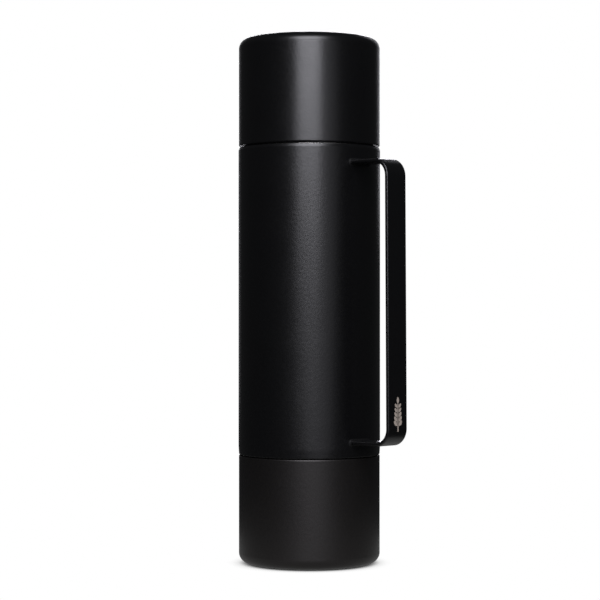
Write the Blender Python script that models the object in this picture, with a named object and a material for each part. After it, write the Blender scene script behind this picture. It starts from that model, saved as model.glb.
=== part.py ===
"""Vacuum growler with a threaded cup on each end, a screw stopper under the top cup and a flat strap handle.

Run with: blender --background --python part.py
All lengths below are in millimetres and become metres where a mesh is made. The row frame is +Z up along the
axis of the vessel, the origin at the centre of the face that it stands on, and the handle towards +X.
"""

import math

import bmesh
import bpy
from mathutils import Matrix, Vector

MM = 0.001
GAP = 0.3  # left between pieces that touch on the real object

# The body between its two shoulders, and the cups that screw against them.
BODY_RADIUS = 46.0
BODY_LENGTH = 198.8
BODY_TOP_BEVEL = (0.65, 2.0)  # depth, height
BODY_BOTTOM_BEVEL = (0.3, 5.0)
SEAM_GAP = 0.8
CUP_RADIUS = 45.75
CUP_HEIGHT = 69.7
CUP_CORNER_RADIUS = 6.5
CUP_RIM_BEVEL = (0.25, 0.65)
PAD_PROUD = 0.4
EDGE_BREAK = 0.35  # radius of the small rounds along pressed and moulded edges

# Sheet thicknesses.
SHELL_WALL = 0.6
LINER_WALL = 0.5

# Heights that follow from those.
BOTTOM_SHOULDER_Z = PAD_PROUD + CUP_HEIGHT + SEAM_GAP
TOP_SHOULDER_Z = BOTTOM_SHOULDER_Z + BODY_LENGTH

# Cup walls, measured outwards from a shoulder of the body.
CUP_BASE = SEAM_GAP + CUP_HEIGHT
CUP_BORE_RADIUS = 42.65
CUP_FLOOR_DEPTH = 6.0  # from the base to the floor inside
CUP_FLOOR = CUP_BASE - CUP_FLOOR_DEPTH
CUP_FLOOR_RADIUS = 7.0
CUP_BASE_OPENING = 36.0
PLATE_RECESS = 1.2
PAD_RADIUS = 35.0

# The body's collar at the top and spigot at the base, which carry the cup threads.
SPIGOT_RADIUS = 40.6
SPIGOT_LENGTH = 9.0
SPIGOT_EDGE_RADIUS = 1.2
THREAD_RING_BORE = SPIGOT_RADIUS + GAP
THREAD_RING_RADIUS = 41.4
THREAD_CREST_RADIUS = 42.3
CUP_THREAD_CREST_RADIUS = 41.75
CUP_THREAD_LEAD = 24.0
CUP_THREAD_STARTS = 4
MALE_THREAD_START = 2.0
MALE_THREAD_SPAN = 78.0
CUP_THREAD_OFFSET = -1.7  # the cup's ridge is under the body's, whose flank keeps the cup from pulling off
CUP_THREAD_START = 2.5
CUP_THREAD_SPAN = 60.0
CUP_GASKET = (39.6, 42.3, 1.6)  # inner radius, outer radius, thickness
CUP_GASKET_Z = SPIGOT_LENGTH + 0.8
CUP_BEAD_DEPTH = 0.9  # the bead rolled into the cup's bore, which backs the gasket
CUP_BEAD_Z = CUP_GASKET_Z + CUP_GASKET[2] + 0.4
CUP_BEAD_STEPS = (0.9, 1.7, 3.0)  # full depth reached, full depth left, wall met again

# One thread ridge: half its height at the root and at the crest, and how far its root sits in the wall.
RIDGE_ROOT_HALF = 1.0
RIDGE_CREST_HALF = 0.45
RIDGE_SUNK = 0.25

# The closing plates: radii of the pumping hole, the dimple's floor and its rim, and the dimple's depth.
PLATE_HOLE = 1.2
DIMPLE_FLOOR = 4.2
DIMPLE_RIM = 5.6
DIMPLE_DEPTH = 1.0
SEAL_RADIUS = 3.2
SEAL_THICKNESS = 0.45
GETTER_RADIUS = 6.0
GETTER_THICKNESS = 1.6
GETTER_BEVEL = (0.8, 0.5)
GETTER_OFFSET = 18.0  # from the axis

# Neck and mouth.
CONE_HEIGHT = 4.3
CONE_ROOT_RADIUS = 1.5
NECK_RADIUS = 30.0
NECK_BORE_RADIUS = 27.2
LIP_HEIGHT = 18.8  # above the top shoulder
LIP_Z = TOP_SHOULDER_Z + LIP_HEIGHT
LINER_RADIUS = 42.1
LINER_FLOOR_Z = BOTTOM_SHOULDER_Z + 4.5
LINER_FLOOR_RADIUS = 8.0
LINER_SHOULDER_Z = LIP_Z - 35.0
LINER_SHOULDER_RADIUS = 5.0
LINER_NECK_Z = LIP_Z - 24.0
LINER_NECK_RADIUS = 3.0
LINER_SLOPE_LIFT = 0.15  # keeps the sloping stretch as thick as the rest
BASE_OPENING = 34.0

# Stopper.
PLUG_RADIUS = 25.7
PLUG_WALL = 1.8
PLUG_DEPTH = 20.0
PLUG_FLANGE_RADIUS = 31.0
PLUG_FLANGE_THICKNESS = 1.5
PLUG_CORNER_RADIUS = 2.0
FOAM_PROUD = 1.5  # above the flange, into the cap
FOAM_BEVEL = 1.0
STOPPER_GASKET = (27.4, 29.8, 1.3)
STOPPER_CAP_RADIUS = 33.2
STOPPER_CAP_TOP = 9.0  # above the lip
STOPPER_CAP_SKIRT = 0.8  # above the lip
STOPPER_CAP_ROUND = 1.6
STOPPER_GRIPS = 12
STOPPER_GRIP_DEPTH = 0.6
STOPPER_THREAD_LEAD = 12.0
STOPPER_THREAD_STARTS = 2
STOPPER_THREAD_CREST = 26.75
NECK_THREAD_CREST = 26.15
STOPPER_THREAD_START = -14.5  # below the lip
STOPPER_THREAD_SPAN = 220.0
NECK_THREAD_OFFSET = 1.7  # the neck's ridge is above the plug's, and keeps the stopper from lifting
NECK_THREAD_START = -12.4
NECK_THREAD_SPAN = 150.0

# Handle: a flat strap bent twice and welded to the body at both ends.
STRAP_WIDTH = 17.4
STRAP_THICKNESS = 2.5
STRAP_EDGE_RADIUS = 0.8
STRAP_TOP_Z = TOP_SHOULDER_Z - 10.3
STRAP_BOTTOM_Z = BOTTOM_SHOULDER_Z + 8.3
STRAP_REACH_TOP = 77.1  # outer face to the vessel's axis
STRAP_REACH_BOTTOM = 78.3
STRAP_BEND_RADIUS = 8.7  # inside of the bend
WELD_LEG = 1.3

# Facets round a turn, and along a ridge.
SHELL_TURN = 44
LINER_TURN = 36
SMALL_TURN = 24
BEAD_TURN = 16
RIDGE_STEP = 12.0
ARC_STEP = 30.0
SHARP_ANGLE = math.radians(35)


# ---------------------------------------------------------------- materials

COATING = "black_powder_coat"
STEEL = "stainless_steel"
SILICONE = "black_silicone"
PLASTIC = "black_polypropylene"
FOAM = "white_foam"
SOLDER = "sealing_glass"
FINISHES = {
    COATING: ((0.012, 0.012, 0.014), 0.42, 0.0),
    STEEL: ((0.60, 0.59, 0.57), 0.28, 1.0),
    SILICONE: ((0.02, 0.02, 0.021), 0.7, 0.0),
    PLASTIC: ((0.018, 0.018, 0.019), 0.45, 0.0),
    FOAM: ((0.82, 0.81, 0.78), 0.9, 0.0),
    SOLDER: ((0.25, 0.27, 0.3), 0.3, 0.0),
}


def make_materials():
    made = {}
    for name, (colour, roughness, metallic) in FINISHES.items():
        material = bpy.data.materials.new(name)
        material.use_nodes = True
        shader = material.node_tree.nodes["Principled BSDF"]
        shader.inputs["Base Color"].default_value = (*colour, 1.0)
        shader.inputs["Roughness"].default_value = roughness
        shader.inputs["Metallic"].default_value = metallic
        material.diffuse_color = (*colour, 1.0)
        made[name] = material
    return made


# ---------------------------------------------------------------- outlines


def rounded(corners, closed=True, step=ARC_STEP):
    """The outline through (across, up, radius) corners, each turned into an arc of that radius."""
    points = []
    count = len(corners)
    for i, (x, y, radius) in enumerate(corners):
        here = Vector((x, y))
        if radius <= 0 or (not closed and i in (0, count - 1)):
            points.append((x, y))
            continue
        before = (Vector(corners[i - 1][:2]) - here).normalized()
        after = (Vector(corners[(i + 1) % count][:2]) - here).normalized()
        half = before.angle(after) / 2
        centre = here + (before + after).normalized() * (radius / math.sin(half))
        start = here + before * (radius / math.tan(half)) - centre
        turn = math.pi - 2 * half
        if start.x * (-before.y) + start.y * before.x < 0:
            turn = -turn
        steps = max(1, round(abs(math.degrees(turn)) / step))
        for k in range(steps + 1):
            angle = math.atan2(start.y, start.x) + turn * k / steps
            points.append((centre.x + radius * math.cos(angle), centre.y + radius * math.sin(angle)))
    return points


# ---------------------------------------------------------------- meshes


def new_object(name, mesh, material, parent=None):
    thing = bpy.data.objects.new(name, mesh)
    bpy.context.scene.collection.objects.link(thing)
    if not mesh.materials:
        mesh.materials.append(material)
    thing.parent = parent
    return thing


def finished(bm, name):
    """A mesh from bm, closed, facing out, in metres and smooth apart from its edges."""
    bmesh.ops.remove_doubles(bm, verts=bm.verts, dist=1e-4)
    bmesh.ops.recalc_face_normals(bm, faces=bm.faces)
    bmesh.ops.transform(bm, matrix=Matrix.Scale(MM, 4), verts=bm.verts)
    mesh = bpy.data.meshes.new(name)
    bm.to_mesh(mesh)
    bm.free()
    mesh.shade_smooth()
    mesh.set_sharp_from_angle(angle=SHARP_ANGLE)
    return mesh


def turned(name, outline, segments=SHELL_TURN, closed=True, bump=None):
    """A solid turned round Z from an outline of (radius, height) points. An open outline ends on the axis."""
    bm = bmesh.new()
    verts = [bm.verts.new((r, 0, z)) for r, z in outline]
    edges = [bm.edges.new(pair) for pair in zip(verts, verts[1:])]
    if closed:
        edges.append(bm.edges.new((verts[-1], verts[0])))
    bmesh.ops.spin(
        bm,
        geom=verts + edges,
        axis=(0, 0, 1),
        cent=(0, 0, 0),
        angle=2 * math.pi,
        steps=segments,
        use_merge=True,
    )
    if bump:
        for v in bm.verts:
            v.co.xy *= bump(math.atan2(v.co.y, v.co.x), v.co.xy.length, v.co.z)
    return finished(bm, name)


def lofted(name, rings, loop):
    """A solid from rings of points. With loop the last ring joins the first. Otherwise each end is capped in
    strips between the points that face each other, which are counted from the two ends of the ring."""
    bm = bmesh.new()
    made = [[bm.verts.new(p) for p in ring] for ring in rings]
    pairs = list(zip(made, made[1:] + made[:1])) if loop else list(zip(made, made[1:]))
    for one, other in pairs:
        for k in range(len(one)):
            m = (k + 1) % len(one)
            bm.faces.new((one[k], one[m], other[m], other[k]))
    if not loop:
        for ring in (made[0], made[-1]):
            for k in range(len(ring) // 2 - 1):
                bm.faces.new((ring[k], ring[k + 1], ring[-2 - k], ring[-1 - k]))
    return finished(bm, name)


def ridge_rings(start_angle, span, start_z, lead, base_radius, crest_radius):
    """Rings along one helical thread ridge, which rises out of the wall over its first and last steps."""
    steps = max(4, round(span / RIDGE_STEP))
    rings = []
    for k in range(steps + 1):
        turn = span * k / steps
        angle = math.radians(start_angle + turn)
        z = start_z + lead * turn / 360
        grown = min(1.0, max(0.12, min(k, steps - k) / 1.5))
        crest = base_radius + (crest_radius - base_radius) * grown
        section = (
            (base_radius, -RIDGE_ROOT_HALF),
            (crest, -RIDGE_CREST_HALF),
            (crest, RIDGE_CREST_HALF),
            (base_radius, RIDGE_ROOT_HALF),
        )
        rings.append([(r * math.cos(angle), r * math.sin(angle), z + dz) for r, dz in section])
    return rings


def with_ridges(name, mesh, starts, *ridge):
    """The mesh joined with that many thread ridges, spaced evenly round the axis."""
    start_angle, span, start_z, lead, base_radius, crest_radius = ridge
    core = bpy.data.objects.new(name, mesh)
    bpy.context.scene.collection.objects.link(core)
    for k in range(starts):
        angle = start_angle + 360 * k / starts
        rings = ridge_rings(angle, span, start_z, lead, base_radius, crest_radius)
        ridge_name = f"{name}_ridge_{k}"
        added = bpy.data.objects.new(ridge_name, lofted(ridge_name, rings, loop=False))
        bpy.context.scene.collection.objects.link(added)
        join = core.modifiers.new(ridge_name, "BOOLEAN")
        join.operation = "UNION"
        join.solver = "EXACT"
        join.object = added
    joined = bpy.data.meshes.new_from_object(core.evaluated_get(bpy.context.evaluated_depsgraph_get()))
    for thing in [core, *(m.object for m in core.modifiers)]:
        bpy.data.objects.remove(thing)
    joined.shade_smooth()
    joined.set_sharp_from_angle(angle=SHARP_ANGLE)
    joined.materials.clear()
    return joined


# ---------------------------------------------------------------- the two ends, measured out from a shoulder


def thread_ring_mesh():
    outline = rounded(
        [
            (THREAD_RING_BORE, GAP, 0),
            (THREAD_RING_RADIUS, GAP, 0),
            (THREAD_RING_RADIUS, SPIGOT_LENGTH - GAP, EDGE_BREAK),
            (THREAD_RING_BORE, SPIGOT_LENGTH - GAP, 0),
        ],
        step=90,
    )
    return with_ridges(
        "thread_ring",
        turned("thread_ring_core", outline, LINER_TURN),
        CUP_THREAD_STARTS,
        0.0,
        MALE_THREAD_SPAN,
        MALE_THREAD_START,
        CUP_THREAD_LEAD,
        THREAD_RING_RADIUS - RIDGE_SUNK,
        THREAD_CREST_RADIUS,
    )


def cup_shell_mesh():
    inner = CUP_RADIUS - SHELL_WALL
    rim_inner = CUP_BORE_RADIUS + LINER_WALL + GAP
    bevel_depth, bevel_height = CUP_RIM_BEVEL
    return turned(
        "cup_outer_shell",
        rounded(
            [
                (rim_inner, SEAM_GAP, 0),
                (CUP_RADIUS - bevel_depth, SEAM_GAP, 0),
                (CUP_RADIUS, SEAM_GAP + bevel_height, 0),
                (CUP_RADIUS, CUP_BASE, CUP_CORNER_RADIUS),
                (CUP_BASE_OPENING, CUP_BASE, 0),
                (CUP_BASE_OPENING, CUP_BASE - SHELL_WALL, 0),
                (inner, CUP_BASE - SHELL_WALL, CUP_CORNER_RADIUS - SHELL_WALL),
                (inner, SEAM_GAP + bevel_height + SHELL_WALL, 0),
                (rim_inner, SEAM_GAP + SHELL_WALL, 0),
            ]
        ),
    )


def cup_liner_mesh():
    outer = CUP_BORE_RADIUS + LINER_WALL
    full, left, met = (CUP_BEAD_Z + step for step in CUP_BEAD_STEPS)
    bead = [(CUP_BEAD_Z, 0), (full, CUP_BEAD_DEPTH), (left, CUP_BEAD_DEPTH), (met, 0)]
    outline = rounded(
        [
            (0, CUP_FLOOR, 0),
            (CUP_BORE_RADIUS, CUP_FLOOR, CUP_FLOOR_RADIUS),
            *((CUP_BORE_RADIUS - depth, z, 0) for z, depth in reversed(bead)),
            (CUP_BORE_RADIUS, SEAM_GAP, 0),
            (outer, SEAM_GAP, 0),
            *((outer - depth, z, 0) for z, depth in bead),
            (outer, CUP_FLOOR + LINER_WALL, CUP_FLOOR_RADIUS + LINER_WALL),
            (0, CUP_FLOOR + LINER_WALL, 0),
        ],
        closed=False,
        step=45,
    )
    start = CUP_THREAD_START
    line = MALE_THREAD_START + CUP_THREAD_OFFSET
    return with_ridges(
        "cup_inner_liner",
        turned("cup_liner_core", outline, LINER_TURN, closed=False),
        CUP_THREAD_STARTS,
        (start - line) / CUP_THREAD_LEAD * 360,
        CUP_THREAD_SPAN,
        start,
        CUP_THREAD_LEAD,
        CUP_BORE_RADIUS + RIDGE_SUNK,
        CUP_THREAD_CREST_RADIUS,
    )


def base_plate_mesh(name, radius, outer_z, inwards):
    """A welded closing plate with a dimple at its centre. inwards is the sign of the way into the vessel."""
    step = inwards * SHELL_WALL
    dimple_z = outer_z + inwards * DIMPLE_DEPTH
    outside = [(PLATE_HOLE, dimple_z), (DIMPLE_FLOOR, dimple_z), (DIMPLE_RIM, outer_z), (radius, outer_z)]
    inside = [(r, z + step) for r, z in reversed(outside)]
    return turned(name, outside + inside, segments=SMALL_TURN)


def seal_bead_mesh(name, outer_z, inwards):
    """The bead of sealing glass over the pumping hole, in the plate's dimple."""
    low = outer_z + inwards * (DIMPLE_DEPTH - GAP)
    high = low - inwards * SEAL_THICKNESS
    shoulder = (SEAL_RADIUS * 0.75, low + (high - low) * 0.8)
    return turned(name, [(0, low), (SEAL_RADIUS, low), shoulder, (0, high)], BEAD_TURN, closed=False)


def getter_mesh(name, z, inwards):
    """A gas getter in its clip: a short pill with a bevelled edge."""
    far = z - inwards * GETTER_THICKNESS
    across, along = GETTER_BEVEL
    bevel = [(GETTER_RADIUS, far + inwards * along), (GETTER_RADIUS - across, far)]
    mesh = turned(name, [(0, z), (GETTER_RADIUS, z), *bevel, (0, far)], BEAD_TURN, closed=False)
    mesh.transform(Matrix.Translation((GETTER_OFFSET * MM, 0, 0)))
    return mesh


def foot_pad_mesh():
    low = CUP_BASE - PLATE_RECESS + GAP
    high = CUP_BASE + PAD_PROUD
    corners = [(0, low, 0), (PAD_RADIUS, low, 0), (PAD_RADIUS, high, EDGE_BREAK), (0, high, 0)]
    return turned("foot_pad", rounded(corners, closed=False, step=90), LINER_TURN, closed=False)


def gasket_mesh(name, size, low):
    inner, outer, thickness = size
    corners = [(inner, low), (outer, low), (outer, low + thickness), (inner, low + thickness)]
    return turned(name, corners, LINER_TURN)


def build_ends(materials):
    """The thread ring and the cup on each shoulder. The two ends are the same pieces, one end turned over."""
    plate_z = CUP_BASE - PLATE_RECESS
    plate_radius = CUP_BASE_OPENING - GAP
    pieces = [
        ("gasket", gasket_mesh("cup_gasket", CUP_GASKET, CUP_GASKET_Z), SILICONE),
        ("outer_shell", cup_shell_mesh(), COATING),
        ("inner_liner", cup_liner_mesh(), STEEL),
        ("base_plate", base_plate_mesh("cup_base_plate", plate_radius, plate_z, -1), COATING),
        ("vacuum_seal", seal_bead_mesh("cup_vacuum_seal", plate_z, -1), SOLDER),
        ("getter", getter_mesh("cup_getter", CUP_FLOOR + LINER_WALL + GAP, -1), STEEL),
        ("foot_pad", foot_pad_mesh(), SILICONE),
    ]
    thread_ring = thread_ring_mesh()
    for end, ring_name, shoulder, turned_over in (
        ("top", "neck_thread_ring", TOP_SHOULDER_Z, 0.0),
        ("bottom", "base_thread_ring", BOTTOM_SHOULDER_Z, math.pi),
    ):
        axis = bpy.data.objects.new(f"{end}_end", None)
        bpy.context.scene.collection.objects.link(axis)
        axis.location = (0, 0, shoulder * MM)
        axis.rotation_euler = (turned_over, 0, 0)
        new_object(ring_name, thread_ring, materials[PLASTIC], axis)
        for piece, mesh, finish in pieces:
            new_object(f"{end}_cup_{piece}", mesh, materials[finish], axis)


# ---------------------------------------------------------------- the vacuum bottle


def build_bottle(materials):
    low, high = BOTTOM_SHOULDER_Z, TOP_SHOULDER_Z
    spigot_low = low - SPIGOT_LENGTH
    collar_high = high + SPIGOT_LENGTH
    wall = SHELL_WALL
    outer_neck_top = LIP_Z - LINER_WALL - GAP
    cone_high = collar_high + CONE_HEIGHT
    top_depth, top_height = BODY_TOP_BEVEL
    bottom_depth, bottom_height = BODY_BOTTOM_BEVEL
    outline = rounded(
        [
            (BASE_OPENING, spigot_low, 0),
            (SPIGOT_RADIUS, spigot_low, SPIGOT_EDGE_RADIUS),
            (SPIGOT_RADIUS, low, 0),
            (BODY_RADIUS - bottom_depth, low, EDGE_BREAK),
            (BODY_RADIUS, low + bottom_height, 0),
            (BODY_RADIUS, high - top_height, 0),
            (BODY_RADIUS - top_depth, high, EDGE_BREAK),
            (SPIGOT_RADIUS, high, 0),
            (SPIGOT_RADIUS, collar_high, SPIGOT_EDGE_RADIUS),
            (NECK_RADIUS, cone_high, CONE_ROOT_RADIUS),
            (NECK_RADIUS, outer_neck_top, 0),
            (NECK_RADIUS - wall, outer_neck_top, 0),
            (NECK_RADIUS - wall, cone_high - wall, 0),
            (SPIGOT_RADIUS - wall, collar_high - wall, 0),
            (SPIGOT_RADIUS - wall, high - wall, 0),
            (BODY_RADIUS - top_depth - wall, high - wall, 0),
            (BODY_RADIUS - wall, high - top_height - wall, 0),
            (BODY_RADIUS - wall, low + bottom_height, 0),
            (BODY_RADIUS - bottom_depth - wall, low + wall, 0),
            (SPIGOT_RADIUS - wall, low + wall, 0),
            (SPIGOT_RADIUS - wall, spigot_low + wall, 0),
            (BASE_OPENING, spigot_low + wall, 0),
        ],
        step=45,
    )
    new_object("bottle_outer_shell", turned("bottle_outer_shell", outline), materials[COATING])

    bore = LINER_RADIUS - LINER_WALL
    neck_outer = NECK_BORE_RADIUS + LINER_WALL
    outline = rounded(
        [
            (0, LINER_FLOOR_Z, 0),
            (bore, LINER_FLOOR_Z, LINER_FLOOR_RADIUS),
            (bore, LINER_SHOULDER_Z, LINER_SHOULDER_RADIUS),
            (NECK_BORE_RADIUS, LINER_NECK_Z, LINER_NECK_RADIUS),
            (NECK_BORE_RADIUS, LIP_Z, EDGE_BREAK),
            (NECK_RADIUS, LIP_Z, EDGE_BREAK),
            (NECK_RADIUS, LIP_Z - LINER_WALL, 0),
            (neck_outer, LIP_Z - LINER_WALL, 0),
            (neck_outer, LINER_NECK_Z + LINER_SLOPE_LIFT, LINER_NECK_RADIUS - LINER_WALL),
            (LINER_RADIUS, LINER_SHOULDER_Z + LINER_SLOPE_LIFT, LINER_SHOULDER_RADIUS + LINER_WALL),
            (LINER_RADIUS, LINER_FLOOR_Z - LINER_WALL, LINER_FLOOR_RADIUS + LINER_WALL),
            (0, LINER_FLOOR_Z - LINER_WALL, 0),
        ],
        closed=False,
        step=45,
    )
    line = STOPPER_THREAD_START + NECK_THREAD_OFFSET
    liner = with_ridges(
        "bottle_inner_liner",
        turned("bottle_liner_core", outline, LINER_TURN, closed=False),
        STOPPER_THREAD_STARTS,
        (NECK_THREAD_START - line) / STOPPER_THREAD_LEAD * 360,
        NECK_THREAD_SPAN,
        LIP_Z + NECK_THREAD_START,
        STOPPER_THREAD_LEAD,
        NECK_BORE_RADIUS + RIDGE_SUNK,
        NECK_THREAD_CREST,
    )
    new_object("bottle_inner_liner", liner, materials[STEEL])

    plate_z = spigot_low + GAP
    plate = base_plate_mesh("bottle_base_plate", BASE_OPENING - GAP, plate_z, 1)
    new_object("bottle_base_plate", plate, materials[COATING])
    new_object("bottle_vacuum_seal", seal_bead_mesh("bottle_vacuum_seal", plate_z, 1), materials[SOLDER])
    getter = getter_mesh("bottle_getter", LINER_FLOOR_Z - LINER_WALL - GAP, 1)
    new_object("bottle_getter", getter, materials[STEEL])


# ---------------------------------------------------------------- the stopper


def build_stopper(materials):
    gasket_low = LIP_Z + GAP
    flange_low = gasket_low + STOPPER_GASKET[2] + GAP
    flange_high = flange_low + PLUG_FLANGE_THICKNESS
    plug_low = LIP_Z - PLUG_DEPTH
    bore = PLUG_RADIUS - PLUG_WALL
    outline = rounded(
        [
            (0, plug_low, 0),
            (PLUG_RADIUS, plug_low, PLUG_CORNER_RADIUS),
            (PLUG_RADIUS, flange_low, 0),
            (PLUG_FLANGE_RADIUS, flange_low, EDGE_BREAK),
            (PLUG_FLANGE_RADIUS, flange_high, EDGE_BREAK),
            (bore, flange_high, 0),
            (bore, plug_low + PLUG_WALL, PLUG_CORNER_RADIUS / 2),
            (0, plug_low + PLUG_WALL, 0),
        ],
        closed=False,
        step=45,
    )
    plug = with_ridges(
        "stopper_plug",
        turned("stopper_plug_core", outline, LINER_TURN, closed=False),
        STOPPER_THREAD_STARTS,
        0.0,
        STOPPER_THREAD_SPAN,
        LIP_Z + STOPPER_THREAD_START,
        STOPPER_THREAD_LEAD,
        PLUG_RADIUS - RIDGE_SUNK,
        STOPPER_THREAD_CREST,
    )
    new_object("stopper_plug", plug, materials[PLASTIC])
    gasket = gasket_mesh("stopper_gasket", STOPPER_GASKET, gasket_low)
    new_object("stopper_gasket", gasket, materials[SILICONE])

    foam_low = plug_low + PLUG_WALL + GAP
    foam_high = flange_high + FOAM_PROUD
    foam_radius = bore - GAP
    outline = [(0, foam_low), (foam_radius - FOAM_BEVEL, foam_low), (foam_radius, foam_low + FOAM_BEVEL)]
    outline += [(foam_radius, foam_high), (0, foam_high)]
    foam = turned("stopper_foam", outline, LINER_TURN, closed=False)
    new_object("stopper_foam", foam, materials[FOAM])

    top = LIP_Z + STOPPER_CAP_TOP
    skirt_low = LIP_Z + STOPPER_CAP_SKIRT
    skirt_bore = PLUG_FLANGE_RADIUS + GAP
    ceiling = foam_high + GAP
    outline = rounded(
        [
            (0, ceiling, 0),
            (skirt_bore - 2, ceiling, 0),
            (skirt_bore, flange_high + GAP, 0),
            (skirt_bore, skirt_low, 0),
            (STOPPER_CAP_RADIUS, skirt_low, EDGE_BREAK),
            (STOPPER_CAP_RADIUS, top, STOPPER_CAP_ROUND),
            (0, top, 0),
        ],
        closed=False,
    )

    def grips(angle, radius, z):
        if radius < STOPPER_CAP_RADIUS - 1.0:
            return 1.0
        return 1.0 - STOPPER_GRIP_DEPTH / radius * (0.5 - 0.5 * math.cos(STOPPER_GRIPS * angle))

    cap = turned("stopper_cap", outline, SHELL_TURN, closed=False, bump=grips)
    new_object("stopper_cap", cap, materials[PLASTIC])


# ---------------------------------------------------------------- the handle


def strap_section(grow=0.0):
    """Points round the strap's cross-section, as (across the width, out of the face)."""
    across = STRAP_WIDTH / 2 + grow
    out = STRAP_THICKNESS / 2 + grow
    radius = STRAP_EDGE_RADIUS + grow
    face = [((across - radius) * (1 - k / 3), out, 0) for k in range(1, 6)]
    back = [(-y, -out, 0) for y, _, _ in face]
    corners = [(across, out, radius), *face, (-across, out, radius)]
    corners += [(-across, -out, radius), *back, (across, -out, radius)]
    return rounded(corners)


def on_body(y, lift=0.0):
    """How far from the axis plane the body's surface is at y across it, plus the touching gap and lift."""
    radius = BODY_RADIUS + GAP
    return math.sqrt(radius * radius - y * y) + lift


def build_handle(materials):
    half = STRAP_THICKNESS / 2
    bend = STRAP_BEND_RADIUS + half
    top_z, bottom_z = STRAP_TOP_Z - half, STRAP_BOTTOM_Z + half
    path = rounded(
        [
            (BODY_RADIUS, top_z, 0),
            (STRAP_REACH_TOP - half, top_z, bend),
            (STRAP_REACH_BOTTOM - half, bottom_z, bend),
            (BODY_RADIUS, bottom_z, 0),
        ],
        closed=False,
        step=18,
    )
    rings = []
    for k, (x, z) in enumerate(path):
        before = Vector(path[max(k - 1, 0)])
        after = Vector(path[min(k + 1, len(path) - 1)])
        along = (after - before).normalized()
        out = Vector((-along.y, along.x))
        at_end = k in (0, len(path) - 1)
        section = strap_section()
        rings.append([(on_body(y) if at_end else x + out.x * s, y, z + out.y * s) for y, s in section])
    new_object("handle_strap", lofted("handle_strap", rings, loop=False), materials[COATING])

    inner, outer = strap_section(GAP), strap_section(GAP + WELD_LEG)
    for name, z in (("handle_upper_weld", top_z), ("handle_lower_weld", bottom_z)):
        rings = [
            [
                (on_body(y_in), y_in, z + z_in),
                (on_body(y_out), y_out, z + z_out),
                (on_body(y_in, WELD_LEG), y_in, z + z_in),
            ]
            for (y_in, z_in), (y_out, z_out) in zip(inner, outer)
        ]
        new_object(name, lofted(name, rings, loop=True), materials[COATING])


def main():
    for thing in list(bpy.data.objects):
        bpy.data.objects.remove(thing)
    materials = make_materials()
    build_bottle(materials)
    build_ends(materials)
    build_stopper(materials)
    build_handle(materials)


main()
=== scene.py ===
"""The looks of a vacuum growler: fine shells, moulded threads, silicone, brushed steel and a coated handle.

Lengths are in millimetres until a mesh is made. The two ends of the vessel are the same pieces, one turned
over, so each is drawn upwards from a shoulder of the body and then placed on its own shoulder. Places come
from the boxes of the CAD nodes. The values below are what those boxes don't give.
"""

import math

import bmesh
import bpy
import numpy as np
from mathutils import Matrix, Quaternion, Vector

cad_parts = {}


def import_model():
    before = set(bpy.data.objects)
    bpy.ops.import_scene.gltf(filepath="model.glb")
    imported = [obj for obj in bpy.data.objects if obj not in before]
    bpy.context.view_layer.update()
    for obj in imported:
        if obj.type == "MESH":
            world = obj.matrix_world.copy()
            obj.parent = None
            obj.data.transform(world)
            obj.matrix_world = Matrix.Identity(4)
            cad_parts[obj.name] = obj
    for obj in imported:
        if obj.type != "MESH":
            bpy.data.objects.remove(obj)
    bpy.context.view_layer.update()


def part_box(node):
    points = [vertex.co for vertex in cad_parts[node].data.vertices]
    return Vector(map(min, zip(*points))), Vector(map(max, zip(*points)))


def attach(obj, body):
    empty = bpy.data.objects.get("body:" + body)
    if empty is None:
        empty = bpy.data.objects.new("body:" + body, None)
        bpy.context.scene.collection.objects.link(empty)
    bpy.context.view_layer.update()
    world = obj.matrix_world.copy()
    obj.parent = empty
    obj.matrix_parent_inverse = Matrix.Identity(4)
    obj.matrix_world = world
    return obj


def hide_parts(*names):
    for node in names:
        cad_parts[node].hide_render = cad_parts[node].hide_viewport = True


MM = 0.001
GAP = 0.3  # between pieces that are really welded, crimped or bonded
WALL = 0.6  # the outer shells and the closing plates
LINER_WALL = 0.5
SPIGOT_RADIUS = 40.6  # the body's two narrow ends, which carry the thread rings
NECK_RADIUS = 30.0  # the top of the outer shell, which the liner's lip closes


# ---------------------------------------------------------------- outlines

ARC_STEP = 7.5  # degrees in one step of a rounded corner
UPRIGHT = 0.01  # a run is upright if it goes in or out by less than this
SUPPORT = 0.4  # from the end of a straight run to the point that keeps it flat
LONG_RUN = 6 * SUPPORT
RIDGE_STEP = 0.2  # height of one step of a wall that a thread rises from


def neighbours(items, closed):
    """Each item with the next one. When closed, the last item goes with the first."""
    return zip(items, items[1:] + items[:1] if closed else items[1:])


def rounded(corners, closed=True, step=ARC_STEP):
    """The outline through (across, up, radius) corners, each turned into an arc of that radius."""
    points = []
    count = len(corners)
    for i, (x, y, radius) in enumerate(corners):
        if radius <= 0 or (not closed and i in (0, count - 1)):
            points.append((x, y))
            continue
        here = Vector((x, y))
        before = (Vector(corners[i - 1][:2]) - here).normalized()
        after = (Vector(corners[(i + 1) % count][:2]) - here).normalized()
        half = before.angle(after) / 2
        centre = here + (before + after).normalized() * (radius / math.sin(half))
        start = here + before * (radius / math.tan(half)) - centre
        turn = math.pi - 2 * half
        if start.y * before.x - start.x * before.y < 0:
            turn = -turn
        steps = max(2, round(abs(math.degrees(turn)) / step))
        for k in range(steps + 1):
            angle = math.atan2(start.y, start.x) + turn * k / steps
            points.append((centre.x + radius * math.cos(angle), centre.y + radius * math.sin(angle)))
    return supported(points, closed)


def supported(outline, closed):
    """The outline with a point added near both ends of each long straight run, so that it is shaded flat."""
    made = []
    for one, other in neighbours(outline, closed):
        made.append(one)
        start, run = Vector(one), Vector(other) - Vector(one)
        if run.length > LONG_RUN:
            share = SUPPORT / run.length
            made += [tuple(start + run * share), tuple(start + run * (1 - share))]
    if not closed:
        made.append(outline[-1])
    return made


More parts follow.
